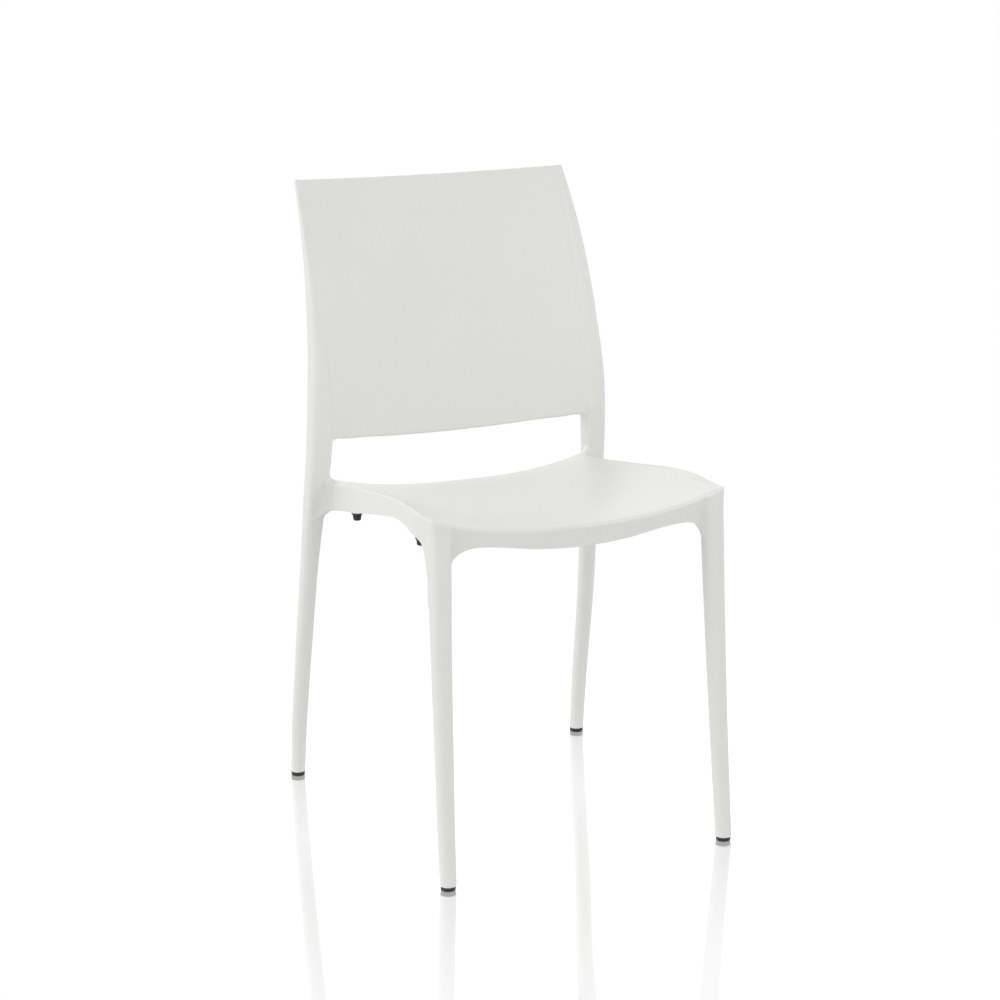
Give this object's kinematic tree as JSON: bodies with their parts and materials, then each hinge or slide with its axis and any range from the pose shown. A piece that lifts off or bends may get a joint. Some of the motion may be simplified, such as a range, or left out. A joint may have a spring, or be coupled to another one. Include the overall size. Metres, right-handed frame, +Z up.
{
  "type": "stacking chair",
  "caption": "Armless stacking chair moulded in one piece, with a dished seat, an open lumbar gap, a bowed back, tapered legs, dark glides and rubber stacking bumpers.",
  "frame": {"origin": "on the floor, at the centre of the chair's outline seen from above", "axes": "+Z up, the sitter faces -Y, +X to the left hand of the sitter"},
  "size_m": [0.4476, 0.5026, 0.812],
  "materials": {
    "shell": "fine-grained satin, warm off-white",
    "glide": "matt, near black",
    "bumper": "matt, dark slate"
  },
  "bodies": {
    "root": {"chair_moulding": "shell", "front_left_glide": "glide", "front_right_glide": "glide", "rear_left_glide": "glide", "rear_right_glide": "glide", "front_left_bumper": "bumper", "front_right_bumper": "bumper", "rear_left_bumper": "bumper", "rear_right_bumper": "bumper"}
  },
  "joints": []
}
